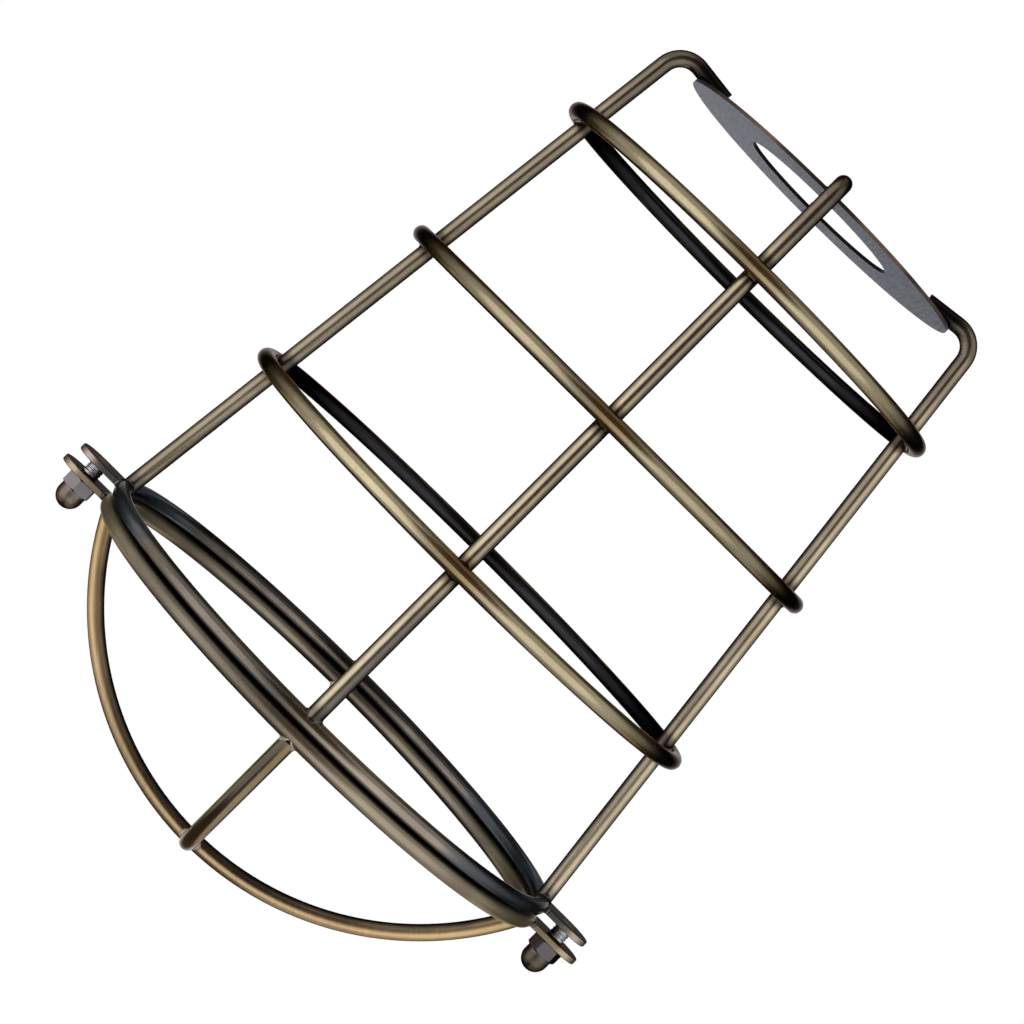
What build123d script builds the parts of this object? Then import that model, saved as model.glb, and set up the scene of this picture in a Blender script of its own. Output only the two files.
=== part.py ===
from build123d import *
import os
from math import atan2, cos, degrees, radians

# Cage lampshade for a hanging lamp: a tapered cage of round wire hangs from a flat plate that a
# lamp holder clamps, and a wire dome held by two cap nuts closes its mouth.
# The origin is the middle of the lamp holder hole, on the plate's underside. +Z points up along
# the cage's axis, -Y to the front and +X to the right. Sizes are in millimetres.

# Wire and welds
wire_diameter = 3.8
weld_bite = 0.3  # how deep a crossing wire is pressed into the piece it is welded to
weld_sink = 0.8  # how far a cut wire end reaches past the crown of the wire it stands on

# Top plate
plate_diameter = 76.5
plate_thickness = 0.8
holder_hole_diameter = 40.0

# Legs
leg_gap = 5.15  # between the plate's edge and a leg, level with the plate's underside
arm_overlap = 7.6  # how far the arm reaches in over the plate
arm_sink = 0.5  # how deep the arm's end is pressed down on the plate
leg_bend_radius = 5.5  # middle of the wire

# Rings, welded to the outside of the legs
ring_first_drop = 22.0  # plate's underside to the upper ring
ring_pitch = 42.3
ring_names = ["ring_upper", "ring_middle", "ring_lower"]

# Hoops and dome
hoop_diameter = 127.2  # middle of the wire
hoop_drop = 149.0  # plate's underside to the middle of the body hoop
dome_depth = 40.2  # middle of the dome hoop to the middle of the wire at the dome's lowest point

# Lugs
lug_width = 10.5
lug_thickness = 1.5
lug_edge_radius = 0.3
body_lug_reach = 11.5  # hoop's outside to the lug's tip
dome_lug_reach = 12.6
lug_gap = 2.8  # between a body lug and the dome lug under it

# Studs and cap nuts
stud_diameter = 4.0
stud_reach = 5.9  # hoop's outside to the stud's axis
stud_chamfer = 0.4
stud_clearance = 0.2  # round the stud in a dome lug's plain hole
thread_clearance = 0.05  # round the stud in a threaded hole
nut_across_flats = 6.8
nut_hex_height = 3.2
nut_corner_chamfer = 0.35
nut_cap_diameter = 6.3
nut_height = 7.8
nut_thread_depth = 5.5
stud_end_gap = 0.6  # between the stud's end and the bottom of the nut's blind hole

# Sizes that follow from those above
wire_radius = wire_diameter / 2
plate_radius = plate_diameter / 2
hoop_radius = hoop_diameter / 2
end_gap = wire_radius - weld_sink  # middle of a wire to the cut end that stands on it

# A leg runs in an upright plane, from its shoulder beside the plate to the middle of the body hoop.
# Its arm is bent square to it, so the arm dips towards the middle and stands on the plate at its tip.
shoulder = Vector(plate_radius + leg_gap + wire_radius, 0)
leg_target = Vector(hoop_radius, -hoop_drop)
leg_up = (shoulder - leg_target).normalized()
leg_foot = leg_target + leg_up * end_gap
arm_tip_height = plate_thickness - arm_sink + wire_radius * leg_up.Y
arm_tip = Vector(plate_radius - arm_overlap, arm_tip_height)
leg_knee = shoulder + leg_up * (arm_tip - shoulder).dot(leg_up)

# The dome hoop lies against the body hoop, and the dome's arcs bulge down from it
body_hoop_z = -hoop_drop
dome_hoop_z = body_hoop_z - wire_diameter
dome_radius = (hoop_radius**2 + dome_depth**2) / (2 * dome_depth)
dome_centre_z = dome_hoop_z - dome_depth + dome_radius
dome_half_angle = degrees(atan2(hoop_radius, dome_radius - dome_depth))
end_gap_angle = degrees(end_gap / dome_radius)
straight_down = 270

# The lugs lie above and below the level at which the two hoops touch
hoop_joint_z = (body_hoop_z + dome_hoop_z) / 2
body_lug_z = hoop_joint_z + lug_gap / 2
dome_lug_z = hoop_joint_z - lug_gap / 2 - lug_thickness
hoop_outside = hoop_radius + wire_radius
stud_axis_radius = hoop_outside + stud_reach
stud_radius = stud_diameter / 2

# Each cap nut bears on the underside of a dome lug
nut_flat_radius = nut_across_flats / 2
nut_corner_radius = nut_flat_radius / cos(radians(30))
nut_cap_radius = nut_cap_diameter / 2
nut_hex_bottom_z = dome_lug_z - nut_hex_height
nut_bottom_z = dome_lug_z - nut_height
stud_top_z = body_lug_z + lug_thickness
stud_bottom_z = dome_lug_z - nut_thread_depth + stud_end_gap

right_turn = 0
back_turn = 90
left_turn = 180
front_turn = 270


def upright_plane(turn):
    """Plane through the cage's axis: its x points outwards at this turn, and its y points up."""
    return Plane(
        origin=(0, 0, 0),
        x_dir=Vector(1, 0, 0).rotate(Axis.Z, turn),
        z_dir=Vector(0, -1, 0).rotate(Axis.Z, turn),
    )


def stud_plane(turn, height):
    """Level plane on a stud's axis: its x points outwards at this turn."""
    outwards = Vector(1, 0, 0).rotate(Axis.Z, turn)
    return Plane(origin=outwards * stud_axis_radius + Vector(0, 0, height), x_dir=outwards)


def stud_side_plane(turn):
    """Upright plane through a stud's axis: its x points outwards from the stud."""
    side = upright_plane(turn)
    return Plane(origin=stud_plane(turn, 0).origin, x_dir=side.x_dir, z_dir=side.z_dir)


def finish(builder, name):
    """Name a finished piece and write it to its own file."""
    builder.part.label = name
    export_step(builder.part, f"parts/{name}.step")


os.makedirs("parts", exist_ok=True)

# Top plate: a flat washer
with BuildPart() as top_plate:
    with BuildSketch():
        Circle(plate_radius)
        Circle(holder_hole_diameter / 2, mode=Mode.SUBTRACT)
    extrude(amount=plate_thickness)
finish(top_plate, "top_plate")

# Rings: each one goes round the outside of the leaning legs
rings = []
for index, ring_name in enumerate(ring_names):
    ring_drop = ring_first_drop + index * ring_pitch
    leg_at_ring = shoulder - leg_up * (ring_drop / leg_up.Y)
    ring_radius = leg_at_ring.X + (wire_diameter - weld_bite) / leg_up.Y
    with BuildPart() as ring:
        with Locations((0, 0, -ring_drop)):
            Torus(ring_radius, wire_radius)
    finish(ring, ring_name)
    rings.append(ring)

# Hoops: the cage's mouth and the dome's rim, one on the other
with BuildPart() as body_hoop:
    with Locations((0, 0, body_hoop_z)):
        Torus(hoop_radius, wire_radius)
finish(body_hoop, "body_hoop")

with BuildPart() as dome_hoop:
    with Locations((0, 0, dome_hoop_z)):
        Torus(hoop_radius, wire_radius)
finish(dome_hoop, "dome_hoop")

# Legs: an arm on the plate, a bend, and a straight run down to the body hoop
leg_turns = {
    "leg_right": right_turn,
    "leg_back": back_turn,
    "leg_left": left_turn,
    "leg_front": front_turn,
}
legs = {}
for leg_name, turn in leg_turns.items():
    with BuildPart() as leg:
        with BuildLine(upright_plane(turn)) as leg_route:
            FilletPolyline(
                (arm_tip.X, arm_tip.Y),
                (leg_knee.X, leg_knee.Y),
                (leg_foot.X, leg_foot.Y),
                radius=leg_bend_radius,
            )
        with BuildSketch(Plane(origin=leg_route.line @ 0, z_dir=leg_route.line % 0)):
            Circle(wire_radius)
        sweep()
        # Seats that the welds press into the wire
        add(top_plate.part, mode=Mode.SUBTRACT)
        add(body_hoop.part, mode=Mode.SUBTRACT)
        for ring in rings:
            add(ring.part, mode=Mode.SUBTRACT)
    finish(leg, leg_name)
    legs[turn] = leg

# Dome: one whole arc from front to back, and a half arc at each side that ends on it
with BuildPart() as dome_arc:
    with BuildLine(upright_plane(back_turn)) as arc_route:
        CenterArc(
            center=(0, dome_centre_z),
            radius=dome_radius,
            start_angle=straight_down - dome_half_angle + end_gap_angle,
            arc_size=2 * (dome_half_angle - end_gap_angle),
        )
    with BuildSketch(Plane(origin=arc_route.line @ 0, z_dir=arc_route.line % 0)):
        Circle(wire_radius)
    sweep()
    add(dome_hoop.part, mode=Mode.SUBTRACT)
finish(dome_arc, "dome_arc")

half_arcs = {}
for side, turn in {"left": left_turn, "right": right_turn}.items():
    with BuildPart() as half_arc:
        with BuildLine(upright_plane(turn)) as half_route:
            CenterArc(
                center=(0, dome_centre_z),
                radius=dome_radius,
                start_angle=straight_down + end_gap_angle,
                arc_size=dome_half_angle - 2 * end_gap_angle,
            )
        with BuildSketch(Plane(origin=half_route.line @ 0, z_dir=half_route.line % 0)):
            Circle(wire_radius)
        sweep()
        add(dome_arc.part, mode=Mode.SUBTRACT)
        add(dome_hoop.part, mode=Mode.SUBTRACT)
    finish(half_arc, f"dome_half_arc_{side}")
    half_arcs[turn] = half_arc

# Lugs, studs and cap nuts at the two sides
# Seen from the front, the left nut shows a corner and the right nut nearly a flat
hex_turns = {"left": 30, "right": 8}
for side, turn in {"left": left_turn, "right": right_turn}.items():
    lug_levels = {
        "body_lug": (body_lug_z, body_lug_reach, thread_clearance, body_hoop, legs[turn]),
        "dome_lug": (dome_lug_z, dome_lug_reach, stud_clearance, dome_hoop, half_arcs[turn]),
    }
    for lug_name, (lug_z, lug_reach, hole_clearance, hoop, wire) in lug_levels.items():
        outwards = upright_plane(turn).x_dir
        lug_end_radius = hoop_outside + lug_reach - lug_width / 2
        with BuildPart() as lug:
            with BuildSketch(Plane(origin=(0, 0, lug_z), x_dir=outwards)):
                with Locations(((hoop_radius + lug_end_radius) / 2, 0)):
                    Rectangle(lug_end_radius - hoop_radius, lug_width)
                with Locations((lug_end_radius, 0)):
                    Circle(lug_width / 2)
                with Locations((stud_axis_radius, 0)):
                    Circle(stud_radius + hole_clearance, mode=Mode.SUBTRACT)
            extrude(amount=lug_thickness)
            lug_rims = ShapeList()
            for lug_face in lug.faces().filter_by(Axis.Z):
                lug_rims += lug_face.outer_wire().edges()
            fillet(lug_rims, radius=lug_edge_radius)
            # The root fits round the hoop and clears the wire that is welded beside it
            add(hoop.part, mode=Mode.SUBTRACT)
            add(wire.part, mode=Mode.SUBTRACT)
        finish(lug, f"{lug_name}_{side}")

    # Stud: flush with the top of the body lug
    with BuildPart() as stud:
        with BuildSketch(stud_plane(turn, stud_bottom_z)):
            Circle(stud_radius)
        extrude(amount=stud_top_z - stud_bottom_z)
        chamfer(stud.edges().filter_by(GeomType.CIRCLE), length=stud_chamfer)
    finish(stud, f"stud_{side}")

    # Cap nut: a hexagon with chamfered corners, a domed cap and a blind threaded hole
    stud_axis = Axis(stud_plane(turn, 0).origin, (0, 0, 1))
    with BuildPart() as cap_nut:
        with BuildSketch(stud_plane(turn, nut_hex_bottom_z)):
            RegularPolygon(nut_corner_radius, side_count=6, rotation=hex_turns[side])
        extrude(amount=nut_hex_height)
        with BuildSketch(stud_side_plane(turn)):
            with BuildLine():
                Polyline(
                    (0, nut_hex_bottom_z),
                    (nut_flat_radius, nut_hex_bottom_z),
                    (nut_corner_radius, nut_hex_bottom_z + nut_corner_chamfer),
                    (nut_corner_radius, dome_lug_z - nut_corner_chamfer),
                    (nut_flat_radius, dome_lug_z),
                    (0, dome_lug_z),
                    close=True,
                )
            make_face()
        revolve(axis=stud_axis, mode=Mode.INTERSECT)
        with BuildSketch(stud_side_plane(turn)):
            with BuildLine():
                Polyline(
                    (0, nut_bottom_z),
                    (0, nut_hex_bottom_z + nut_corner_chamfer),
                    (nut_cap_radius, nut_hex_bottom_z + nut_corner_chamfer),
                    (nut_cap_radius, nut_bottom_z + nut_cap_radius),
                )
                CenterArc(
                    center=(0, nut_bottom_z + nut_cap_radius),
                    radius=nut_cap_radius,
                    start_angle=straight_down,
                    arc_size=90,
                )
            make_face()
        revolve(axis=stud_axis)
        with Locations(stud_plane(turn, dome_lug_z)):
            Hole(stud_radius + thread_clearance, depth=nut_thread_depth)
    finish(cap_nut, f"cap_nut_{side}")
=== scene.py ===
import math

import bmesh
import bpy
from mathutils import Matrix, Vector, noise


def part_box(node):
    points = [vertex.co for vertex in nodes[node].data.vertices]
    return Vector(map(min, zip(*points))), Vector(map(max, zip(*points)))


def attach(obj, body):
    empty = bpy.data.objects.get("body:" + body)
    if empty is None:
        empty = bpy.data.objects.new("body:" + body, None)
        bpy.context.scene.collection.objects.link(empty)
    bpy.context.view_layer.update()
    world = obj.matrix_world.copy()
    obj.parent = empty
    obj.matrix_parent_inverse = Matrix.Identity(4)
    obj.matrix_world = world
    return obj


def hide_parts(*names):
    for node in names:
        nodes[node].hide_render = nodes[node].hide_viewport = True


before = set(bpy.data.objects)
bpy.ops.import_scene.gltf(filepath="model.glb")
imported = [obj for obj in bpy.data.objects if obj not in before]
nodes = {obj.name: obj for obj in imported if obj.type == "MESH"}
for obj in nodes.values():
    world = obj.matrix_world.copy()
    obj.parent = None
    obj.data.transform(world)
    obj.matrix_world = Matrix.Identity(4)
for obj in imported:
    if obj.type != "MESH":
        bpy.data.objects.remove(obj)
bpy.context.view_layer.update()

# Looks of the cage lampshade: relieved antique brass on its wires, weld fillets where they meet,
# rolled threads on the two studs, and a plain studio. Everything is in metres, in the part's frame.
BODY = "root"

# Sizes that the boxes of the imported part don't show, as its source has them
arm_sink = 0.0005  # how deep the arm's end is pressed down on the plate
lug_edge_radius = 0.0003
leg_turns = {"right": 0.0, "back": 90.0, "left": 180.0, "front": 270.0}  # degrees

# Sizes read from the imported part
lower_corner, upper_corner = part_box("ring_upper")
wire_radius = (upper_corner.z - lower_corner.z) / 2


def round_wire(node):
    """Radius and height of the middle line of a wire ring."""
    low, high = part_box(node)
    return high.x - wire_radius, (low.z + high.z) / 2


ring_nodes = ["ring_upper", "ring_middle", "ring_lower"]
rings = [round_wire(node) for node in ring_nodes]
top_ring_z = rings[0][1]
low_ring_z = rings[-1][1]
hoop_radius, body_hoop_z = round_wire("body_hoop")
dome_hoop_z = round_wire("dome_hoop")[1]
apex_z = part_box("dome_arc")[0].z + wire_radius
dome_depth = dome_hoop_z - apex_z
dome_radius = (hoop_radius**2 + dome_depth**2) / (2 * dome_depth)
dome_centre_z = apex_z + dome_radius
plate_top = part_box("top_plate")[1].z
lean = (rings[-1][0] - rings[0][0]) / (top_ring_z - low_ring_z)
leg_up = Vector((-lean, 0, 1)).normalized()
arm_out = Vector((leg_up.z, 0, -leg_up.x))
arm_tip = Vector((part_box("leg_right")[0].x + wire_radius * arm_out.z, 0,
                  plate_top - arm_sink + wire_radius * arm_out.x))

# Finishes, as linear colours; a pair of tones is the dark and the light of one finish
leg_brass = (0.235, 0.19, 0.132)
leg_tones = (leg_brass, (0.35, 0.297, 0.213))
ring_tones = ((0.2, 0.163, 0.102), (0.3, 0.256, 0.168))
body_hoop_tones = ((0.13, 0.109, 0.086), (0.21, 0.179, 0.144))
dome_hoop_tones = ((0.15, 0.124, 0.088), (0.235, 0.2, 0.15))
half_arc_tones = ((0.275, 0.187, 0.101), (0.385, 0.278, 0.16))
light_end_brass = (0.44, 0.375, 0.235)
heat_gold = (0.21, 0.142, 0.062)
black_patina = (0.018, 0.0175, 0.02)
blue_grey_end = (0.085, 0.093, 0.108)
pale_blue_end = (0.21, 0.232, 0.26)
green_grey_end = (0.062, 0.07, 0.064)
# painted shade: the grey band along one flank of a wire
painted_side_shade = (0.085, 0.08, 0.078)
weld_brown = (0.09, 0.065, 0.046)
weld_black = (0.022, 0.022, 0.023)
weld_grey = (0.11, 0.107, 0.1)
weld_slate = (0.037, 0.035, 0.034)
# light tone of the dome welds: a painted highlight
weld_highlight_silver = (0.5, 0.43, 0.36)
lug_face_tones = ((0.02, 0.0175, 0.017), (0.085, 0.068, 0.057))
body_lug_edge_tones = ((0.055, 0.058, 0.055), (0.27, 0.22, 0.19))
dome_lug_edge_tones = ((0.16, 0.128, 0.08), (0.25, 0.2, 0.135))
sheet_tones = ((0.1, 0.101, 0.145), (0.2, 0.212, 0.262))
plate_top_tones = ((0.12, 0.092, 0.062), leg_brass)
plate_rim_tones = ((0.03, 0.021, 0.018), (0.12, 0.083, 0.062))
plate_hole_black = (0.006, 0.005, 0.006)
nut_flat_tones = ((0.095, 0.083, 0.086), (0.14, 0.125, 0.13))
nut_cap_tones = ((0.075, 0.057, 0.045), (0.13, 0.103, 0.08))
zinc_tones = ((0.5, 0.5, 0.51), (0.72, 0.73, 0.74))

# What the metal mirrors at a glancing angle
edge_tint = (0.165, 0.108, 0.09, 1.0)
worn_edge_tint = (0.6, 0.5, 0.42, 1.0)
grey_edge_tint = (0.19, 0.178, 0.168, 1.0)

# Where a finish changes: each pair but the dull spot is where a change begins and where it is full
arm_bare_reach = (0.0375, 0.0425)  # from the cage's axis
foot_bare_heights = (body_hoop_z + 0.0025, body_hoop_z + 0.006)
shoulder_heights = (top_ring_z + 0.002, -0.006)
# Legs darken next to the rings from weld soot and from painted shadow of the rings
ring_soot_and_shadow_span = (0.0022, 0.0045)  # up or down a leg, from the middle of a ring
ring_weld_heat = (0.0055, 0.0015)
leg_weld_heat = (0.009, 0.0015)  # along a ring, from the middle of a leg
apex_shadow_heights = (apex_z + 0.016, apex_z + 0.002)
dome_heat_heights = (dome_hoop_z - 0.03, dome_hoop_z)
leg_grey_heights = (low_ring_z, low_ring_z - 0.02)
arc_grey_heights = (apex_z + 0.006, apex_z + 0.02)
dull_reach = (0.012, 0.032)  # from a dull place
dull_spot = (-0.024, -0.059)  # x and y of a place on both hoops, at their front left
body_lug_bright_reach = (0.069, 0.0755)  # from the cage's axis
dome_lug_bright_reach = (0.067, 0.076)
nut_cap_heights = (0.0048, 0.0036)  # above the nut's end

# How bare the metal stays in the dark places, and how strong the shadows and tints are
foot_bareness = 0.3
shoulder_bareness = 0.6
ring_soot_and_shadow_bareness = 0.2
dull_bareness = 0.55
groove_bareness = 0.25
inner_edge_black = 0.75
apex_shadow = 0.55
dome_heat = 0.6

# Which faces count as turned inwards, into the groove between the hoops, or sideways: each pair is
# a part of their normal
inner_faces = (0.1, -0.3)  # outwards
inner_edge_faces = (0.15, -0.25)  # outwards
groove_faces = (0.15, 0.4)  # towards the other hoop
side_begins, side_ends = (-0.05, 0.3), (0.9, 0.6)  # to the right or left

# Noise: scales per metre on the wires, how far the patches shift the ends of a finish there and on
# the lugs, and the wires' roughness, with what the streaks add to it, and the depth of their relief
patch_scale = 190.0
cloud_scale = 55.0
streak_scale = 5200.0
grain_scale = 2600.0
leg_shift = 0.006
end_shift = 0.01
lug_shift = 0.004
wire_roughness, streak_roughness = 0.16, 0.12
wire_relief = 0.000012

# Weld fillets: radii, how much they swell and thin, and the seeds of that
crossing_fillet = 0.0006
foot_fillet = 0.0007
dome_fillet = 0.0011
lug_fillet = 0.0009
arm_fillet = 0.0008
arm_weld_length = 0.0072  # along the arm, from its tip
crossing_wobble = 0.35
foot_wobble = 0.3
lug_wobble = 0.4
arm_wobble = 0.35
ring_seed_step, leg_seed_step, arm_seed_step = 7.3, 1.9, 2.7
foot_seed, dome_seed, apex_seed = 3.1, 11.7, 19.3
body_lug_seed, dome_lug_seed, arm_seed = 31.0, 35.0, 43.0


# Node helpers

def shade(colour, share):
    """A colour, lighter or darker by a share."""
    return tuple(part * share for part in colour)


def shaded(tones, share):
    """The same tones, all of them lighter or darker."""
    return [shade(tone, share) for tone in tones]


def new_material(name):
    """An empty material with a principled shader; returns it with its tree and shader."""
    material = bpy.data.materials.new(name)
    material.use_nodes = True
    tree = material.node_tree
    return material, tree, tree.nodes["Principled BSDF"]


def feed(tree, socket, value):
    """Link a socket, or set a constant, on an input."""
    if isinstance(value, bpy.types.NodeSocket):
        tree.links.new(value, socket)
    else:
        socket.default_value = value


def math_node(tree, operation, first, second=0.0):
    node = tree.nodes.new("ShaderNodeMath")
    node.operation = operation
    feed(tree, node.inputs[0], first)
    feed(tree, node.inputs[1], second)
    return node.outputs[0]


def plus(tree, first, second):
    return math_node(tree, "ADD", first, second)


def minus(tree, first, second):
    return math_node(tree, "SUBTRACT", first, second)


def times(tree, first, second):
    return math_node(tree, "MULTIPLY", first, second)


def without(tree, value, share):
    """A value less a share of itself."""
    return times(tree, value, minus(tree, 1.0, share))


def size_of(tree, value):
    """A value without its sign."""
    return math_node(tree, "ABSOLUTE", value)


def vector_node(tree, operation, first, second=(0, 0, 0), output="Vector"):
    node = tree.nodes.new("ShaderNodeVectorMath")
    node.operation = operation
    feed(tree, node.inputs[0], first)
    feed(tree, node.inputs[1], second)
    return node.outputs[output]


def ramp_node(tree, value, start, end, low=0.0, high=1.0):
    """Smooth step of a value from start to end."""
    node = tree.nodes.new("ShaderNodeMapRange")
    node.interpolation_type = "SMOOTHSTEP"
    feed(tree, node.inputs["Value"], value)
    limits = {"From Min": start, "From Max": end, "To Min": low, "To Max": high}
    for name, number in limits.items():
        node.inputs[name].default_value = number
    return node.outputs["Result"]


def noise_node(tree, vector, scale, detail):
    node = tree.nodes.new("ShaderNodeTexNoise")
    feed(tree, node.inputs["Vector"], vector)
    node.inputs["Scale"].default_value = scale
    node.inputs["Detail"].default_value = detail
    return node.outputs["Fac"]


def mix_node(tree, factor, first, second):
    """Mix of two colours."""
    node = tree.nodes.new("ShaderNodeMix")
    node.data_type = "RGBA"
    feed(tree, node.inputs["Factor"], factor)
    for socket, colour in ((node.inputs["A"], first), (node.inputs["B"], second)):
        linked = isinstance(colour, bpy.types.NodeSocket)
        feed(tree, socket, colour if linked else (*colour, 1.0))
    return node.outputs["Result"]


def split(tree, vector):
    node = tree.nodes.new("ShaderNodeSeparateXYZ")
    feed(tree, node.inputs[0], vector)
    return tuple(node.outputs)


def surface(tree):
    """Position and normal of the shaded point, in the part's frame."""
    geometry = tree.nodes.new("ShaderNodeNewGeometry")
    return geometry.outputs["Position"], geometry.outputs["Normal"]


def axis_distance(tree, position):
    """Distance of the shaded point from the cage's axis."""
    level = vector_node(tree, "MULTIPLY", position, (1, 1, 0))
    return vector_node(tree, "LENGTH", level, output="Value")


def bump_node(tree, height, depth):
    node = tree.nodes.new("ShaderNodeBump")
    node.inputs["Strength"].default_value = 1.0
    node.inputs["Distance"].default_value = depth
    feed(tree, node.inputs["Height"], height)
    return node.outputs["Normal"]


def set_metal(shader, glancing):
    shader.inputs["Metallic"].default_value = 1.0
    shader.inputs["Specular Tint"].default_value = glancing


def set_roughness(tree, shader, pattern, smooth, rough):
    """Roughness that follows a noise pattern."""
    feed(tree, shader.inputs["Roughness"], ramp_node(tree, pattern, 0.2, 0.8, smooth, rough))


# Finish of the wires, which are of four kinds: leg, ring, hoop and arc

def streak_vector(tree, position, kind):
    """Coordinates stretched along the wires, for the fine lines that drawing leaves on them."""
    ring_stretch, leg_stretch, arc_stretch = 0.003, 0.04, 0.05
    x, y, z = split(tree, position)
    if kind == "leg":
        sides = (x, y, times(tree, z, leg_stretch))
    elif kind == "arc":
        middle = (0, 0, dome_centre_z)
        reach = vector_node(tree, "DISTANCE", position, middle, output="Value")
        sides = (reach, times(tree, x, arc_stretch), times(tree, y, arc_stretch))
    else:
        angle = math_node(tree, "ARCTAN2", y, x)
        sides = (axis_distance(tree, position), times(tree, angle, ring_stretch), z)
    joined = tree.nodes.new("ShaderNodeCombineXYZ")
    for socket, value in zip(joined.inputs, sides):
        feed(tree, socket, value)
    return joined.outputs[0]


def outward_facing(tree, position, normal, kind, swing=0.0):
    """How far a face turns outwards, from the cage's axis or, on an arc, from the dome's middle. A
    swing turns that to the left, which paints light on the wire's left side."""
    if kind == "arc":
        outwards = vector_node(tree, "SUBTRACT", position, (0, 0, dome_centre_z))
    else:
        outwards = vector_node(tree, "MULTIPLY", position, (1, 1, 0))
    outwards = vector_node(tree, "NORMALIZE", outwards)
    if swing:
        outwards = vector_node(tree, "ADD", outwards, (-swing, 0, 0))
        outwards = vector_node(tree, "NORMALIZE", outwards)
    return vector_node(tree, "DOT_PRODUCT", normal, outwards, output="Value")


def leg_wear(tree, bare, position, uneven):
    """A leg stays black on its arm, and darker on its shoulder and at its foot; by the rings it is
    darker from weld soot and from painted shadow of the rings.
    """
    z = split(tree, position)[2]
    height = plus(tree, z, times(tree, uneven, leg_shift))
    bare = times(tree, bare, ramp_node(tree, axis_distance(tree, position), *arm_bare_reach))
    bare = times(tree, bare, ramp_node(tree, height, *foot_bare_heights, low=foot_bareness))
    bare = times(tree, bare, ramp_node(tree, z, *shoulder_heights, 1.0, shoulder_bareness))
    # Weld soot and painted shadow of the ring on the leg
    for _, ring_z in rings:
        away = size_of(tree, minus(tree, height, ring_z))
        bare = times(tree, bare, ramp_node(tree, away, *ring_soot_and_shadow_span, low=ring_soot_and_shadow_bareness))
    return bare


def arc_wear(tree, bare, position, facing):
    """An arc is blacker on its inner side near the dome's lowest point."""
    inner_side = ramp_node(tree, facing, *inner_faces)
    height = split(tree, position)[2]
    near_apex = ramp_node(tree, height, *apex_shadow_heights, high=apex_shadow)
    return without(tree, bare, times(tree, inner_side, near_apex))


def hoop_wear(tree, bare, normal, facing, groove):
    """A hoop stays black on the side where the other hoop shuts it off, most of all on its inner
    faces, and along its inner edge."""
    inside = times(tree, split(tree, normal)[2], groove["side"])
    bare = times(tree, bare, ramp_node(tree, inside, *groove["shut"], 1.0, groove_bareness))
    inwards = ramp_node(tree, facing, *inner_faces, high=groove["inner_shut"])
    bare = without(tree, bare, times(tree, inwards, ramp_node(tree, inside, *groove_faces)))
    edge = ramp_node(tree, inside, *groove["inner_edge"])
    edge_side = ramp_node(tree, facing, *inner_edge_faces, high=inner_edge_black)
    return without(tree, bare, times(tree, edge, edge_side))


def heat_share(tree, position, kind, patches):
    """How much the heat of the welds has tinted a leg, ring or arc."""
    x, y, z = split(tree, position)
    if kind == "arc":
        return ramp_node(tree, z, *dome_heat_heights, high=dome_heat)
    if kind == "ring":
        beside = math_node(tree, "MINIMUM", size_of(tree, x), size_of(tree, y))
        heat = ramp_node(tree, beside, *leg_weld_heat)
    else:
        heat = 0.0
        for _, ring_z in rings:
            away = size_of(tree, minus(tree, z, ring_z))
            heat = math_node(tree, "MAXIMUM", heat, ramp_node(tree, away, *ring_weld_heat))
    return times(tree, heat, ramp_node(tree, patches, 0.25, 0.7, low=0.3, high=0.8))


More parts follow.
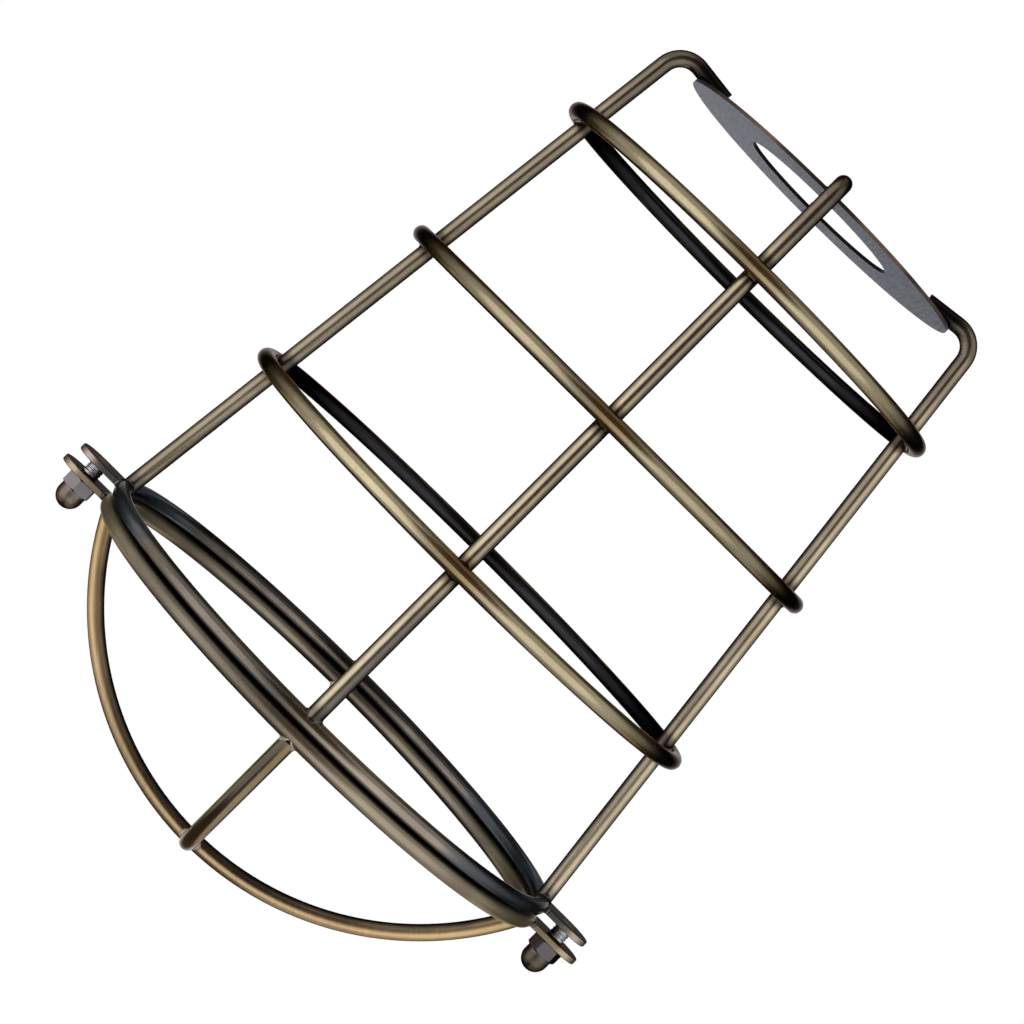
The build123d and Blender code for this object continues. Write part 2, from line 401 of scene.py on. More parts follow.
def wire_material(name, kind, tones, bare_range, seed=0.0, swing=0.0, groove=None, recoloured_ends=(),
                  glancing=edge_tint, dull_place=None, satin=0.0, grey_side=None):
    """Antique brass that was blackened and then brushed bright again on the faces that a brush
    reaches, which are those turned outwards: the bare range says how far. Round a dull place the wire
    is darker. The heat of the welds has tinted all wires but the hoops.
    Recoloured ends take another colour, each given as where on x it begins and is full, how full it
    is and its colour. A grey side is a band of painted shade along the right (1) or left (-1) of a
    wire, given as the heights where it begins and is full, and how full. Satin wires are rougher."""
    material, tree, shader = new_material(name)
    position, normal = surface(tree)
    x, _, z = split(tree, position)
    shifted = vector_node(tree, "ADD", position, (seed, seed, seed))
    patches = noise_node(tree, shifted, patch_scale, detail=4.0)
    uneven = times(tree, minus(tree, patches, 0.5), 0.5)

    facing = outward_facing(tree, position, normal, kind, swing)
    bare = ramp_node(tree, plus(tree, facing, uneven), *bare_range)
    if kind == "leg":
        bare = leg_wear(tree, bare, position, uneven)
    elif kind == "arc":
        bare = arc_wear(tree, bare, position, facing)
    elif kind == "hoop":
        bare = hoop_wear(tree, bare, normal, facing, groove)
    if dull_place:
        away = vector_node(tree, "DISTANCE", position, dull_place, output="Value")
        bare = times(tree, bare, ramp_node(tree, away, *dull_reach, low=dull_bareness))

    streaks = noise_node(tree, streak_vector(tree, shifted, kind), streak_scale, detail=2.0)
    cloud = noise_node(tree, shifted, cloud_scale, detail=2.0)
    mottle = plus(tree, times(tree, streaks, 0.45), times(tree, cloud, 0.6))
    tone = ramp_node(tree, mottle, 0.32, 0.74)
    brass = mix_node(tree, tone, *tones)
    if kind != "hoop":
        brass = mix_node(tree, heat_share(tree, position, kind, patches), brass, heat_gold)
    # A grey side paints shade along one flank of a wire
    if grey_side:
        side, begins, full, amount = grey_side
        aside = times(tree, split(tree, normal)[0], side)
        band = times(tree, ramp_node(tree, aside, *side_begins),
                     ramp_node(tree, aside, *side_ends))
        grey = times(tree, band, ramp_node(tree, z, begins, full, high=amount))
        brass = mix_node(tree, grey, brass, painted_side_shade)

    finish = mix_node(tree, bare, black_patina, brass)
    # The ends of rings and hoops take other colours, darker or lighter than the brass
    for begins, full, amount, end_colour in recoloured_ends:
        along = plus(tree, x, times(tree, uneven, end_shift))
        end = mix_node(tree, tone, shade(end_colour, 0.8), shade(end_colour, 1.15))
        share = ramp_node(tree, along, begins, full, high=amount)
        finish = mix_node(tree, share, finish, end)
    feed(tree, shader.inputs["Base Color"], finish)
    set_metal(shader, glancing)
    rough = plus(tree, times(tree, streaks, streak_roughness), wire_roughness + satin)
    feed(tree, shader.inputs["Roughness"], rough)
    grain = noise_node(tree, shifted, grain_scale, detail=2.0)
    relief = plus(tree, times(tree, streaks, 0.6), times(tree, grain, 0.4))
    feed(tree, shader.inputs["Normal"], bump_node(tree, relief, wire_relief))
    return material


# Other finishes

def lug_material(name, edge_tones, bright_reach):
    """Antique brass strip: dark faces, and cut edges that grow lighter towards the tip."""
    material, tree, shader = new_material(name)
    position, normal = surface(tree)
    flat = size_of(tree, split(tree, normal)[2])
    patches = noise_node(tree, position, scale=260.0, detail=4.0)
    uneven = times(tree, minus(tree, patches, 0.5), 0.7)
    edge = ramp_node(tree, plus(tree, flat, uneven), 0.9, 0.35)
    reach = plus(tree, axis_distance(tree, position), times(tree, uneven, lug_shift))
    rim = mix_node(tree, ramp_node(tree, reach, *bright_reach), *edge_tones)
    face = mix_node(tree, patches, *lug_face_tones)
    feed(tree, shader.inputs["Base Color"], mix_node(tree, edge, face, rim))
    set_metal(shader, edge_tint)
    along_lug = vector_node(tree, "MULTIPLY", position, (0.15, 1.0, 1.0))
    scratches = noise_node(tree, along_lug, scale=3200.0, detail=2.0)
    set_roughness(tree, shader, scratches, smooth=0.28, rough=0.46)
    feed(tree, shader.inputs["Normal"], bump_node(tree, scratches, depth=0.000015))
    return material


def plate_material():
    """Smooth blue-grey sheet underneath with painted light that makes it lighter to the left, antique
    brass on its rim and top, black in its hole.
    """
    material, tree, shader = new_material("plate_steel")
    position, normal = surface(tree)
    under = ramp_node(tree, split(tree, normal)[2], -0.3, -0.8)
    facing = outward_facing(tree, position, normal, "ring")
    in_hole = ramp_node(tree, facing, -0.3, -0.8)
    on_rim = ramp_node(tree, facing, 0.3, 0.8)
    rolled = vector_node(tree, "MULTIPLY", position, (1.0, 0.06, 1.0))
    lines = noise_node(tree, rolled, scale=1500.0, detail=3.0)
    cloud = noise_node(tree, position, scale=34.0, detail=3.0)
    mottle = plus(tree, times(tree, lines, 0.08), times(tree, cloud, 0.3))
    # Painted light: the sheet grows lighter towards the left, where the light comes from
    painted_light_left = times(tree, split(tree, position)[0], -9.0)
    tone = ramp_node(tree, plus(tree, mottle, painted_light_left), -0.2, 0.6)
    sheet = mix_node(tree, tone, *sheet_tones)
    top = mix_node(tree, ramp_node(tree, cloud, 0.35, 0.65), *plate_top_tones)
    rim = mix_node(tree, ramp_node(tree, cloud, 0.4, 0.6), *plate_rim_tones)
    brass = mix_node(tree, on_rim, top, rim)
    brass = mix_node(tree, in_hole, brass, plate_hole_black)
    feed(tree, shader.inputs["Base Color"], mix_node(tree, under, brass, sheet))
    feed(tree, shader.inputs["Metallic"], minus(tree, 1.0, under))
    set_roughness(tree, shader, lines, smooth=0.42, rough=0.56)
    shader.inputs["Specular IOR Level"].default_value = 0.06
    feed(tree, shader.inputs["Normal"], bump_node(tree, lines, depth=0.000002))
    return material


def rounded_edges(tree, radius):
    """Normal that runs softly over sharp edges."""
    node = tree.nodes.new("ShaderNodeBevel")
    node.samples = 6
    node.inputs["Radius"].default_value = radius
    return node.outputs["Normal"]


def nut_material(name, share):
    """Dark bronze plate: mauve-grey on the flats, browner on the cap, and darker by a share below 1,
    which is painted shade."""
    material, tree, shader = new_material(name)
    position = surface(tree)[0]
    nut_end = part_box("cap_nut_left")[0].z
    begins, full = (nut_end + height for height in nut_cap_heights)
    cap = ramp_node(tree, split(tree, position)[2], begins, full)
    speckle = noise_node(tree, position, scale=900.0, detail=3.0)
    hexagon = mix_node(tree, speckle, *shaded(nut_flat_tones, share))
    dome = mix_node(tree, speckle, *shaded(nut_cap_tones, share))
    feed(tree, shader.inputs["Base Color"], mix_node(tree, cap, hexagon, dome))
    set_metal(shader, edge_tint)
    set_roughness(tree, shader, speckle, smooth=0.24, rough=0.38)
    bump = bump_node(tree, speckle, depth=0.00001)
    tree.links.new(rounded_edges(tree, radius=0.00022), bump.node.inputs["Normal"])
    tree.links.new(bump, shader.inputs["Normal"])
    return material


def stud_material():
    """Bright zinc plate, dark brown on the flat ends."""
    material, tree, shader = new_material("zinc_steel")
    position, normal = surface(tree)
    flat = ramp_node(tree, size_of(tree, split(tree, normal)[2]), 0.8, 0.95)
    speckle = noise_node(tree, position, scale=1400.0, detail=3.0)
    zinc = mix_node(tree, speckle, *zinc_tones)
    feed(tree, shader.inputs["Base Color"], mix_node(tree, flat, zinc, weld_brown))
    set_metal(shader, edge_tint)
    set_roughness(tree, shader, speckle, smooth=0.28, rough=0.42)
    return material


def weld_material(name, dark, light, dull=0.0):
    """Wire metal that the weld has melted; a dull weld is rougher and less rippled."""
    material, tree, shader = new_material(name)
    position = surface(tree)[0]
    patches = noise_node(tree, position, scale=420.0, detail=4.0)
    melt = mix_node(tree, ramp_node(tree, patches, 0.3, 0.7), dark, light)
    feed(tree, shader.inputs["Base Color"], melt)
    set_metal(shader, edge_tint)
    set_roughness(tree, shader, patches, smooth=0.26 + dull, rough=0.42 + dull)
    ripples = noise_node(tree, position, scale=1500.0, detail=2.0)
    ripple_depth = 0.00004 * (1.0 - 2.0 * dull)
    feed(tree, shader.inputs["Normal"], bump_node(tree, ripples, ripple_depth))
    return material


# Piece helpers

def add_piece(name, mesh_data, material):
    """Put a finished mesh in the scene as a piece of the part."""
    piece = bpy.data.objects.new(name, mesh_data)
    bpy.context.scene.collection.objects.link(piece)
    mesh_data.materials.append(material)
    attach(piece, BODY)
    return piece


def mesh_from(name, build):
    """Mesh made by a function that fills a bmesh."""
    mesh = bpy.data.meshes.new(name)
    shape = bmesh.new()
    build(shape)
    bmesh.ops.remove_doubles(shape, verts=shape.verts, dist=1e-7)
    bmesh.ops.recalc_face_normals(shape, faces=shape.faces)
    for face in shape.faces:
        face.smooth = True
    shape.to_mesh(mesh)
    shape.free()
    return mesh


def skin(shape, sections, closed):
    """Join closed cross-sections into one solid; an open run of sections gets two end caps."""
    loops = [[shape.verts.new(point) for point in section] for section in sections]
    pairs = list(zip(loops, loops[1:]))
    if closed:
        pairs.append((loops[-1], loops[0]))
    for first, second in pairs:
        for here, after in zip(range(len(first)), [*range(1, len(first)), 0]):
            shape.faces.new((first[here], first[after], second[after], second[here]))
    if not closed:
        shape.faces.new(loops[0])
        shape.faces.new(reversed(loops[-1]))


def fillet_section(ball, first, second):
    """Section of a fillet: the hollow arc round the ball from one contact point to the other, and a
    corner inside the metal behind it."""
    arc_steps = 8
    corner_depth = 0.6  # as a share of the way from the ball to the fillet's middle
    from_ball = first - ball
    to_ball = second - ball
    points = []
    for step in range(arc_steps + 1):
        direction = from_ball
        if from_ball.angle(to_ball) > 1e-4:
            direction = from_ball.slerp(to_ball, step / arc_steps, from_ball)
        points.append(ball + direction.normalized() * from_ball.length)
    middle = (first + second) / 2
    points.append(middle + (middle - ball) * corner_depth)
    return points


def unevenness(seed, turn):
    """How much a weld swells or thins along its run, from -1 to 1."""
    return noise.noise((seed, 2 * math.cos(turn), 2 * math.sin(turn)))


def crossing_weld(shape, frame_matrix, spacing, radius, seed):
    """Fillet round the place where two wires cross, one along local z and the other along local x,
    with their middles a spacing apart along local y. Halving finds where the ball that touches both
    wires lies in each direction."""
    steps = 64
    halvings = 40
    sections = []
    for index in range(steps):
        turn = 2 * math.pi * index / steps
        ball_radius = radius * (1 + crossing_wobble * unevenness(seed, turn))
        reach = wire_radius + ball_radius
        low, high = 0.0, reach
        for _ in range(halvings):
            trial = (low + high) / 2
            across = (trial * math.cos(turn), trial * math.sin(turn))
            gap = sum(math.sqrt(max(reach**2 - side**2, 0.0)) for side in across)
            low, high = (trial, high) if gap > spacing else (low, trial)
        x, z = low * math.cos(turn), low * math.sin(turn)
        y = math.sqrt(max(reach**2 - x**2, 0.0))
        share = wire_radius / reach
        on_upright = Vector((x * share, y * share, z))
        on_level = Vector((x, spacing + (y - spacing) * share, z * share))
        section = fillet_section(Vector((x, y, z)), on_upright, on_level)
        sections.append([frame_matrix @ point for point in section])
    skin(shape, sections, closed=True)


def foot_weld(shape, frame_matrix, radius, seed):
    """Fillets at both sides of a wire along local z that stands on a wire along local x."""
    steps = 28
    half_sweep = 82  # degrees
    for side in (0.0, math.pi):
        sections = []
        for index in range(steps + 1):
            turn = side + math.radians(-half_sweep + 2 * half_sweep * index / steps)
            ball_radius = radius * (1 + foot_wobble * unevenness(seed, turn))
            reach = wire_radius + ball_radius
            x, y = reach * math.cos(turn), reach * math.sin(turn)
            z = abs(x)
            share = wire_radius / reach
            on_upright = Vector((x * share, y * share, z))
            on_level = Vector((x, y * share, z * share))
            section = fillet_section(Vector((x, y, z)), on_upright, on_level)
            sections.append([frame_matrix @ point for point in section])
        skin(shape, sections, closed=False)


def local_frame(origin, level, upright):
    """Matrix whose z runs along the upright wire and x along the level wire."""
    z = upright.normalized()
    y = z.cross(level).normalized()
    x = y.cross(z)
    return Matrix.Translation(origin) @ Matrix((x, y, z)).transposed().to_4x4()


def turned(vector, turn):
    return Matrix.Rotation(math.radians(turn), 3, "Z") @ Vector(vector)


def leg_radius(height):
    """Radius of a leg's middle line at a height."""
    return hoop_radius - lean * (height - body_hoop_z)


def build_ring_welds(shape):
    leg_out = Vector((leg_up.z, 0, lean * leg_up.z))
    for ring_index, (ring_radius, height) in enumerate(rings):
        for leg_index, turn in enumerate(leg_turns.values()):
            spacing = (ring_radius - leg_radius(height)) * leg_up.z
            on_leg = Vector((ring_radius, 0, height)) - leg_out * spacing
            upright = turned(leg_up, turn)
            level = turned(leg_out, turn).cross(upright)
            place = local_frame(turned(on_leg, turn), level, upright)
            seed = ring_seed_step * ring_index + leg_seed_step * leg_index
            crossing_weld(shape, place, spacing, crossing_fillet, seed)


def build_foot_welds(shape):
    for index, turn in enumerate(leg_turns.values()):
        middle = turned((hoop_radius, 0, body_hoop_z), turn)
        place = local_frame(middle, turned((0, 1, 0), turn), turned(leg_up, turn))
        foot_weld(shape, place, foot_fillet, foot_seed + index)


def build_dome_welds(shape):
    rim_angle = math.atan2(hoop_radius, dome_radius - dome_depth)
    away = Vector((-math.cos(rim_angle), 0, -math.sin(rim_angle)))
    for index, turn in enumerate(leg_turns.values()):
        middle = turned((hoop_radius, 0, dome_hoop_z), turn)
        place = local_frame(middle, turned((0, 1, 0), turn), turned(away, turn))
        foot_weld(shape, place, dome_fillet, dome_seed + index)
    for index, side in enumerate((1, -1)):
        place = local_frame(Vector((0, 0, apex_z)), Vector((0, 1, 0)), Vector((side, 0, 0)))
        foot_weld(shape, place, dome_fillet, apex_seed + index)


def rounded_rectangle(half_width, half_height, corner):
    """Points and outward directions round a rectangle with rounded corners."""
    corner_step = 15  # degrees
    long_pieces, short_pieces = 24, 4
    inner_width, inner_height = half_width - corner, half_height - corner
    outline = []
    for quarter, (side, rise) in enumerate(((1, 1), (-1, 1), (-1, -1), (1, -1))):
        for step in range(90 // corner_step + 1):
            angle = math.radians(90 * quarter + corner_step * step)
            away = (math.cos(angle), math.sin(angle))
            across = side * inner_width + corner * away[0]
            outline.append((across, rise * inner_height + corner * away[1], *away))
        last = outline[-1]
        pieces = short_pieces if quarter % 2 else long_pieces
        run = 2 * (inner_height if quarter % 2 else inner_width)
        for step in range(1, pieces):
            gone = run * step / pieces
            outline.append((last[0] - last[3] * gone, last[1] + last[2] * gone, last[2], last[3]))
    return outline


def lug_weld(shape, node, hoop_z, seed, under_leg):
    """Fillet all round the root of a lug that stands on the outside of a hoop; where a leg's foot is
    nearer than the hoop the fillet runs up to the leg."""
    low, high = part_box(node)
    mirror = 1 if high.x > 0 else -1
    middle_z = (low.z + high.z) / 2
    outline = rounded_rectangle((high.y - low.y) / 2, (high.z - low.z) / 2, lug_edge_radius)
    sections = []
    for index, (y, rise, away_y, away_z) in enumerate(outline):
        turn = 2 * math.pi * index / len(outline)
        radius = lug_fillet * (1 + lug_wobble * unevenness(seed, turn))
        reach = wire_radius + radius
        ball_y = y + away_y * radius
        ball_z = middle_z + rise + away_z * radius
        ring_reach = hoop_radius + math.sqrt(reach**2 - (ball_z - hoop_z)**2)
        x = math.sqrt(ring_reach**2 - ball_y**2)
        share = hoop_radius / ring_reach
        wire_middle = Vector((x * share, ball_y * share, hoop_z))
        if under_leg and abs(ball_y) < reach:
            at_leg = leg_radius(ball_z) + math.sqrt(reach**2 - ball_y**2) / leg_up.z
            if at_leg > x and away_z > 0:
                x = at_leg
                on_axis = Vector((leg_radius(ball_z), 0, ball_z))
                along = (Vector((x, ball_y, ball_z)) - on_axis).dot(leg_up)
                wire_middle = on_axis + leg_up * along
        ball = Vector((x, ball_y, ball_z))
        on_lug = Vector((x, y, middle_z + rise))
        on_wire = wire_middle + (ball - wire_middle) * (wire_radius / reach)
        section = fillet_section(ball, on_wire, on_lug)
        sections.append([Vector((mirror * point.x, point.y, point.z)) for point in section])
    skin(shape, sections, closed=True)


def build_lug_welds(shape):
    for index, side in enumerate(("left", "right")):
        lug_weld(shape, f"body_lug_{side}", body_hoop_z, body_lug_seed + index, True)
        lug_weld(shape, f"dome_lug_{side}", dome_hoop_z, dome_lug_seed + index, False)


def arm_weld(shape, turn, seed):
    """Fillets along both sides and across the end of an arm that lies on the plate. Those along the
    sides grow from a thin start and fade at the plate's rim."""
    steps = 24
    thin, growth, fade = 0.45, 4, 2.2
    end_steps = steps // 2
    end_width, end_size, end_wobble = 0.85, 0.75, 0.3
    for side in (1, -1):
        sections = []
        for step in range(steps + 1):
            share = step / steps
            taper = min(1.0, thin + growth * share, thin + fade * (1 - share))
            swell = 1 + arm_wobble * noise.noise((seed, side * 3.0, 5 * share))
            radius = arm_fillet * taper * swell
            axis = arm_tip + arm_out * (arm_weld_length * share)
            height = axis.z - plate_top
            aside = side * math.sqrt((wire_radius + radius)**2 - (height - radius)**2)
            ball = Vector((axis.x, aside, plate_top + radius))
            on_plate = Vector((axis.x, aside, plate_top))
            on_arm = axis + (ball - axis) * (wire_radius / (wire_radius + radius))
            section = fillet_section(ball, on_plate, on_arm)
            sections.append([turned(point, turn) for point in section])
        skin(shape, sections, closed=False)
    sections = []
    for step in range(end_steps + 1):
        share = step / end_steps
        aside = wire_radius * end_width * (2 * share - 1)
        radius = arm_fillet * (end_size + end_wobble * noise.noise((seed, 4 * share, 9.0)))
        ball_z = plate_top + radius
        x = arm_tip.x - (radius + (ball_z - arm_tip.z) * arm_out.z) / arm_out.x
        ball = Vector((x, aside, ball_z))
        section = fillet_section(ball, Vector((x, aside, plate_top)), ball + arm_out * radius)
        sections.append([turned(point, turn) for point in section])
    skin(shape, sections, closed=False)


def build_arm_welds(shape):
    for index, turn in enumerate(leg_turns.values()):
        arm_weld(shape, turn, arm_seed + arm_seed_step * index)


def thread_mesh(node):
    """Stud with a rolled thread, between the ends of the node that it stands for."""
    low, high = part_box(node)
    middle = (low + high) / 2
    crest = (high.x - low.x) / 2
    pitch = 0.0007
    depth = 0.00013
    chamfer = 0.0004
    groove_top, groove_slope = 1.25, 2.9  # as shares of the depth, the second per turn
    around = 48
    rows_per_turn = 14
    rows = round((high.z - low.z) / pitch * rows_per_turn)

    def build(shape):
        sections = []
        for row in range(rows + 1):
            height = low.z + (high.z - low.z) * row / rows
            end = min(height - low.z, high.z - height)
            limit = crest - max(chamfer - end, 0.0)
            section = []
            for step in range(around):
                turn = 2 * math.pi * step / around
                phase = (height / pitch - step / around) % 1.0
                groove = depth * max(0.0, groove_top - groove_slope * abs(phase - 0.5))
                reach = min(crest - min(groove, depth), limit)
                spoke = Vector((math.cos(turn), math.sin(turn), 0))
                section.append(Vector((middle.x, middle.y, height)) + spoke * reach)
            sections.append(section)
        skin(shape, sections, closed=False)

    return mesh_from(node + "_thread", build)


# Dress the part

def dress(node, material):
    """Give a carried-over node its finish."""
    mesh = nodes[node].data
    mesh.materials.clear()
    mesh.materials.append(material)


def ring_look(node, share):
    """Finish of a ring, lighter or darker by the share, which is painted light and shade, with
    charcoal ends.
    """
    radius = rings[ring_nodes.index(node)][0]
    ends = ((-0.88 * radius, -0.97 * radius, 0.8, green_grey_end),
            (0.82 * radius, 0.94 * radius, 0.9, green_grey_end))
    return wire_material("brass_" + node, "ring", shaded(ring_tones, share), (-0.75, 0.1), seed=0.31,
                         recoloured_ends=ends)


def arc_look(name, tones, **finish):
    return wire_material(name, "arc", tones, (-1.05, 0.1), seed=0.83, **finish)


# Each hoop's groove: the side where the other hoop lies, up (1) or down (-1), how far faces turn
# to it where the black begins and is full, how much blacker the inner ones of them are, and how far
# faces turn to it, or away, along the black inner edge
body_hoop_groove = {"side": -1, "shut": (0.25, 0.68), "inner_shut": 0.0, "inner_edge": (-0.08, -0.45)}
dome_hoop_groove = {"side": 1, "shut": (0.72, 1.0), "inner_shut": 0.32, "inner_edge": (-0.2, -0.6)}
body_hoop_ends = ((-0.046, -0.056, 0.75, pale_blue_end), (0.033, 0.045, 0.9, blue_grey_end),
                  (0.053, 0.06, 0.85, pale_blue_end))
dome_hoop_ends = ((-0.046, -0.058, 0.65, light_end_brass), (0.044, 0.056, 0.5, light_end_brass))

looks = {
    # The front leg's left side is swung to the light and its right side takes a grey band: painted
    # light and shade
    "leg_front": wire_material("brass_leg_front", "leg", leg_tones, (-0.9, 1.3), swing=1.2,
                               grey_side=(1, *leg_grey_heights, 0.85)),
    "leg_back": wire_material("brass_leg_back", "leg", leg_tones, (-1.3, 0.3), seed=0.11),
    # leg_left and leg_right take darker copies of the leg tones: painted shade on the side legs
    "leg_left": wire_material("brass_leg_left", "leg", shaded(leg_tones, 0.55), (-2.2, 0.1)),
    "leg_right": wire_material("brass_leg_right", "leg", shaded(leg_tones, 0.85), (-1.6, 0.3)),
    # The rings are lighter and darker copies of one finish: painted light and shade
    "ring_upper": ring_look("ring_upper", 1.0),
    "ring_middle": ring_look("ring_middle", 0.82),
    "ring_lower": ring_look("ring_lower", 1.1),
    "body_hoop": wire_material("brass_body_hoop", "hoop", body_hoop_tones, (-1.7, -0.3), seed=0.57,
                               groove=body_hoop_groove, recoloured_ends=body_hoop_ends,
                               glancing=grey_edge_tint, dull_place=(*dull_spot, body_hoop_z)),
    "dome_hoop": wire_material("brass_dome_hoop", "hoop", dome_hoop_tones, (-2.6, -0.3), seed=0.57,
                               groove=dome_hoop_groove, recoloured_ends=dome_hoop_ends,
                               glancing=worn_edge_tint, dull_place=(*dull_spot, dome_hoop_z),
                               satin=0.12),
    # The dome arc's grey left side is painted shade
    "dome_arc": arc_look("brass_dome_arc", shaded(leg_tones, 0.9), glancing=worn_edge_tint,
                         grey_side=(-1, *arc_grey_heights, 0.8)),
    "dome_half_arc_left": arc_look("brass_half_arc_left", half_arc_tones, satin=0.12),
    "dome_half_arc_right": arc_look("brass_half_arc_right", half_arc_tones, satin=0.08),
    "cap_nut_left": nut_material("bronze_nut_left", 1.0),
    # The right nut is a darker copy of the left one: painted shade
    "cap_nut_right": nut_material("bronze_nut_right", 0.6),
    "top_plate": plate_material(),
}
body_lug_look = lug_material("brass_body_lug", body_lug_edge_tones, body_lug_bright_reach)
dome_lug_look = lug_material("brass_dome_lug", dome_lug_edge_tones, dome_lug_bright_reach)
for side in ("left", "right"):
    looks[f"body_lug_{side}"] = body_lug_look
    looks[f"dome_lug_{side}"] = dome_lug_look
for node, look in looks.items():
    dress(node, look)

dark_weld_look = weld_material("weld_black", weld_black, weld_grey)
welds = (
    ("ring_welds", build_ring_welds, weld_material("weld_brown", weld_brown, leg_brass)),
    ("foot_welds", build_foot_welds, weld_material("weld_slate", weld_slate, weld_grey)),
    # The dome welds are lightened towards silver: a painted highlight
    ("dome_welds", build_dome_welds, weld_material("weld_painted_highlight", leg_brass, weld_highlight_silver, dull=0.3)),
    ("lug_welds", build_lug_welds, dark_weld_look),
    ("arm_welds", build_arm_welds, dark_weld_look),
)
for name, build, look in welds:
    add_piece(name, mesh_from(name, build), look)

stud_look = stud_material()
for side in ("left", "right"):
    stud = add_piece(f"threaded_stud_{side}", thread_mesh(f"stud_{side}"), stud_look)
    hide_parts(f"stud_{side}")


# Studio

cage_middle = Vector((0, 0, -0.095))
floor_z = -1.0


def direction(azimuth, elevation):
    """Unit vector from the cage; azimuth 0 is the front and 90 the right."""
    turn, rise = math.radians(azimuth), math.radians(elevation)
    level = math.cos(rise)
    return Vector((math.sin(turn) * level, -math.cos(turn) * level, math.sin(rise)))


def add_softbox(name, azimuth, elevation, distance, width, height, radiance):
    light = bpy.data.lights.new(name, "AREA")
    light.shape = "RECTANGLE"
    light.size = width
    light.size_y = height
    light.energy = 4 * width * height * radiance
    lamp = bpy.data.objects.new(name, light)
    bpy.context.scene.collection.objects.link(lamp)
    away = direction(azimuth, elevation)
    lamp.location = cage_middle + away * distance
    lamp.rotation_mode = "QUATERNION"
    lamp.rotation_quaternion = (-away).to_track_quat("-Z", "Y")
    lamp.visible_camera = False


def card_rows(outline):
    """Rows of directions across a card whose outline is a list of elevations, each with the azimuths
    of its two sides."""
    across = 16
    rows = []
    for elevation, first, last in outline:
        step = (last - first) / across
        rows.append([direction(first + step * column, elevation) for column in range(across + 1)])
    return rows


def even_rows(rises, first, last):
    """Rows of directions across a card with upright sides."""
    return card_rows([(rise, first, last) for rise in rises])


def front_rows(half_widths):
    """Rows of directions across a card in front, from elevations with their half widths."""
    return card_rows([(rise, front_azimuth - half, front_azimuth + half)
                      for rise, half in half_widths])


def strip_rows(first, last, left, right):
    """Rows of directions along a strip that runs under the cage from front to back, between two
    angles to its left and right."""
    steps, across = 12, 4
    rows = []
    for step in range(steps + 1):
        turn = math.radians(first + (last - first) * step / steps)
        ahead = Vector((0, -math.cos(turn), math.sin(turn)))
        row = []
        for column in range(across + 1):
            aside = math.radians(left + (right - left) * column / across)
            row.append(Vector((math.sin(aside), 0, 0)) + ahead * math.cos(aside))
        rows.append(row)
    return rows


def add_card(name, rows, distance, level):
    """Card, bent round the cage, that only polished metal sees: dark ones give the bright wires
    their dark lines and edges."""
    points = [cage_middle + away * distance for row in rows for away in row]
    width = len(rows[0])
    faces = []
    for row in range(len(rows) - 1):
        for column in range(width - 1):
            here = row * width + column
            faces.append((here, here + 1, here + width + 1, here + width))
    mesh = bpy.data.meshes.new(name)
    mesh.from_pydata(points, [], faces)
    card = bpy.data.objects.new(name, mesh)
    bpy.context.scene.collection.objects.link(card)
    material, _, shader = new_material(name)
    shader.inputs["Base Color"].default_value = (0, 0, 0, 1)
    shader.inputs["Specular IOR Level"].default_value = 0.0
    shader.inputs["Emission Color"].default_value = (*level, 1)
    shader.inputs["Emission Strength"].default_value = 1.0
    mesh.materials.append(material)
    card.visible_camera = False
    card.visible_diffuse = False
    card.visible_shadow = False
    card.visible_transmission = False


add_softbox("softbox_left", azimuth=-52, elevation=-14, distance=0.75, width=0.74, height=1.0,
            radiance=1.2)
add_softbox("softbox_right", azimuth=49, elevation=-14, distance=0.75, width=0.7, height=1.0,
            radiance=0.95)

# Cards: azimuths and elevations in degrees, distances in metres, levels as linear colours
front_azimuth = -1
front_half_widths = ((-8, 6), (0, 9), (8, 14))
above_half_widths = ((8, 15), (14, 21), (20, 26), (30, 27), (47, 24), (64, 22))
low_rises = (-52, -38, -24, -10)
side_rises = (-30, -10, 10, 30, 50, 64)
top_rises = (64, 72, 81, 89.9)
front_distance, low_distance, side_distance, top_distance, under_distance = 1.6, 1.15, 1.5, 1.7, 0.8
cards = (
    ("card_front", front_rows(front_half_widths), front_distance, (0.17, 0.152, 0.105)),
    ("card_front_above", front_rows(above_half_widths), front_distance, (0.16, 0.1, 0.07)),
    ("board_low_left", even_rows(low_rises, -27, front_azimuth), low_distance, (1.05, 1.05, 1.05)),
    ("board_low_right", even_rows(low_rises, front_azimuth, 27), low_distance, (1.7, 1.7, 1.7)),
    ("card_side_right", even_rows(side_rises, 101, 118), side_distance, (0.5, 0.51, 0.51)),
    ("card_side_left", even_rows(side_rises, -118, -101), side_distance, (0.55, 0.56, 0.56)),
    ("card_back_right", even_rows(side_rises, 118, 156), side_distance, (0.085, 0.1, 0.105)),
    ("card_back_left", even_rows(side_rises, -156, -118), side_distance, (0.13, 0.15, 0.15)),
    ("card_top", even_rows(top_rises, -180, 180), top_distance, (0.47, 0.41, 0.36)),
    ("card_under", strip_rows(-62, -96, -12, 12), under_distance, (0.155, 0.115, 0.09)),
    ("card_under_back", strip_rows(-96, -152, -28, 14), under_distance, (0.1, 0.077, 0.06)),
)
for name, rows, distance, level in cards:
    add_card(name, rows, distance, level)


def shown_ray(tree):
    """1 for rays that show the background: seen directly, mirrored, or through glass."""
    path = tree.nodes.new("ShaderNodeLightPath").outputs
    shown = math_node(tree, "MAXIMUM", path["Is Camera Ray"], path["Is Glossy Ray"])
    return math_node(tree, "MAXIMUM", shown, path["Is Transmission Ray"])


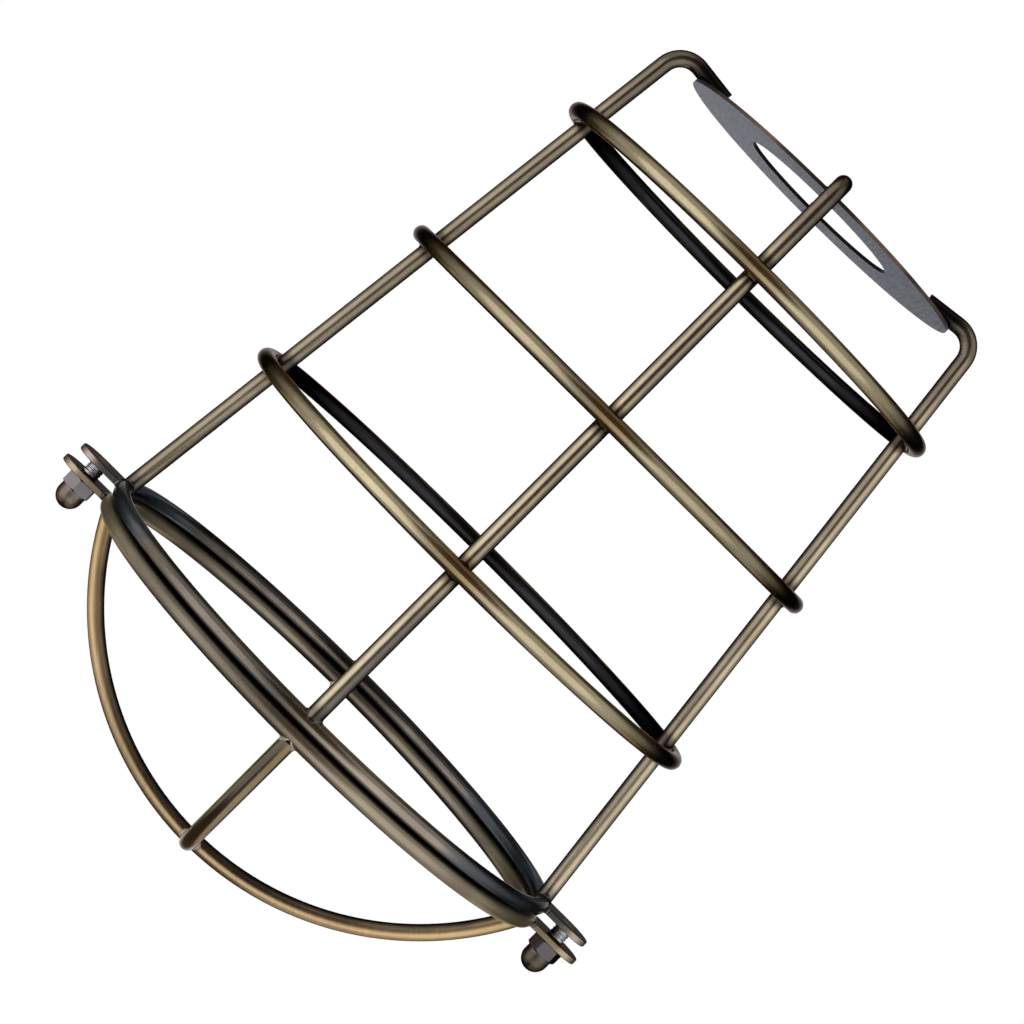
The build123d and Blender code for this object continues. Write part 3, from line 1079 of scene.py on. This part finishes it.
def build_world():
    """White background, and a weaker even light from it."""
    ambient = 0.4
    world = bpy.data.worlds.new("studio")
    world.use_nodes = True
    tree = world.node_tree
    background = tree.nodes["Background"]
    background.inputs["Color"].default_value = (1, 1, 1, 1)
    strength = plus(tree, times(tree, shown_ray(tree), 1.0 - ambient), ambient)
    feed(tree, background.inputs["Strength"], strength)
    bpy.context.scene.world = world


def build_floor():
    """Pale floor under the hanging cage. It keeps the cage's shadow near by; further off, and where
    the metal mirrors it, it is as white as the background."""
    half = 40.0
    grey = 0.82
    shadow_reach = (0.25, 0.8)  # from the cage's axis
    mesh = bpy.data.meshes.new("floor")
    corners = [(x * half, y * half, floor_z) for x, y in ((-1, -1), (1, -1), (1, 1), (-1, 1))]
    mesh.from_pydata(corners, [], [(0, 1, 2, 3)])
    floor = bpy.data.objects.new("floor", mesh)
    bpy.context.scene.collection.objects.link(floor)
    material, tree, shader = new_material("pale_floor")
    shader.inputs["Base Color"].default_value = (grey, grey, grey, 1)
    shader.inputs["Roughness"].default_value = 0.9
    shader.inputs["Specular IOR Level"].default_value = 0.0
    far = ramp_node(tree, axis_distance(tree, surface(tree)[0]), *shadow_reach)
    far_off = times(tree, far, shown_ray(tree))
    mirrored = tree.nodes.new("ShaderNodeLightPath").outputs["Is Glossy Ray"]
    white = tree.nodes.new("ShaderNodeEmission")
    mix = tree.nodes.new("ShaderNodeMixShader")
    feed(tree, mix.inputs[0], math_node(tree, "MAXIMUM", far_off, mirrored))
    tree.links.new(shader.outputs[0], mix.inputs[1])
    tree.links.new(white.outputs[0], mix.inputs[2])
    tree.links.new(mix.outputs[0], tree.nodes["Material Output"].inputs["Surface"])
    mesh.materials.append(material)


build_world()
build_floor()
bpy.context.scene.view_settings.view_transform = "Standard"

# Camera at the photograph's angle: a little above the middle of the cage, and rolled so that the
# cage leans in the picture
camera_place = Vector((-0.002505, -0.722689, -0.065234))
camera_target = Vector((-0.000616, 0, -0.093234))
camera_roll = math.radians(44.872)
camera_lens = 117.28

camera_data = bpy.data.cameras.new("camera")
camera_data.sensor_width = 36.0
camera_data.lens = camera_lens
camera_data.clip_start = 0.01
camera_data.clip_end = 200.0
camera = bpy.data.objects.new("camera", camera_data)
bpy.context.scene.collection.objects.link(camera)
forward = (camera_target - camera_place).normalized()
level_right = forward.cross(Vector((0, 0, 1))).normalized()
level_up = level_right.cross(forward)
right = level_right * math.cos(camera_roll) + level_up * math.sin(camera_roll)
up = level_up * math.cos(camera_roll) - level_right * math.sin(camera_roll)
camera_turn = Matrix((right, up, -forward)).transposed().to_4x4()
camera.matrix_world = Matrix.Translation(camera_place) @ camera_turn
bpy.context.scene.camera = camera

bpy.context.view_layer.update()
